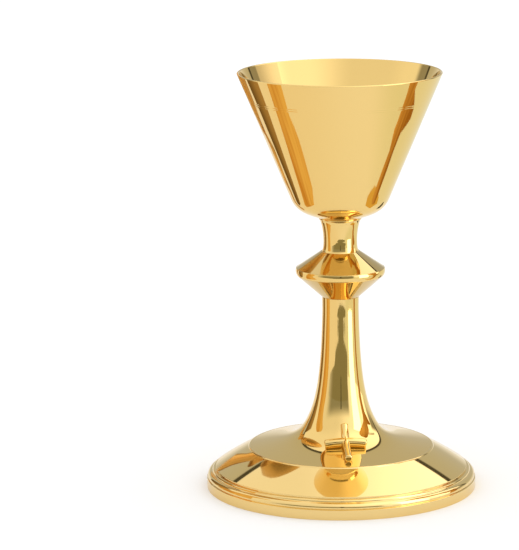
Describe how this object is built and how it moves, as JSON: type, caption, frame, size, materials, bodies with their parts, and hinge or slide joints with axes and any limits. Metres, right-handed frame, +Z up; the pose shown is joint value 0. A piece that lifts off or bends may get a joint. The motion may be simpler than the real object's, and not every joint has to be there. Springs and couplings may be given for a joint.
{
  "type": "communion chalice",
  "caption": "Polished gold goblet for altar use: conical cup on a waisted neck, double-cone knop, flaring stem with a small cross, and a wide round bevelled foot.",
  "frame": {"origin": "centre of the foot's underside, on the surface the chalice stands on", "axes": "+Z up along the chalice's axis, -Y to the front where the cross is, +X to the right"},
  "size_m": [0.1328, 0.1328, 0.206],
  "materials": {
    "gold_polished": "mirror-polished gold plate on brass",
    "gold_satin": "fine satin gold plate",
    "brass_plain": "turned, unpolished",
    "steel_fastener": "bright zinc"
  },
  "bodies": {
    "root": {"cup": "gold_polished", "cup_seat": "gold_polished", "neck": "gold_polished", "knop_upper": "gold_polished", "knop_band": "gold_polished", "knop_lower": "gold_polished", "stem": "gold_polished", "foot": "gold_polished", "foot_ring": "gold_polished", "cross": "gold_polished", "cup_boss": "brass_plain", "knop_sleeve": "brass_plain", "stem_plug": "brass_plain", "clamp_plate": "brass_plain", "cross_pins": "brass_plain", "tie_rod": "steel_fastener", "washer": "steel_fastener", "nut": "steel_fastener", "base_plate": "gold_satin"}
  },
  "joints": []
}
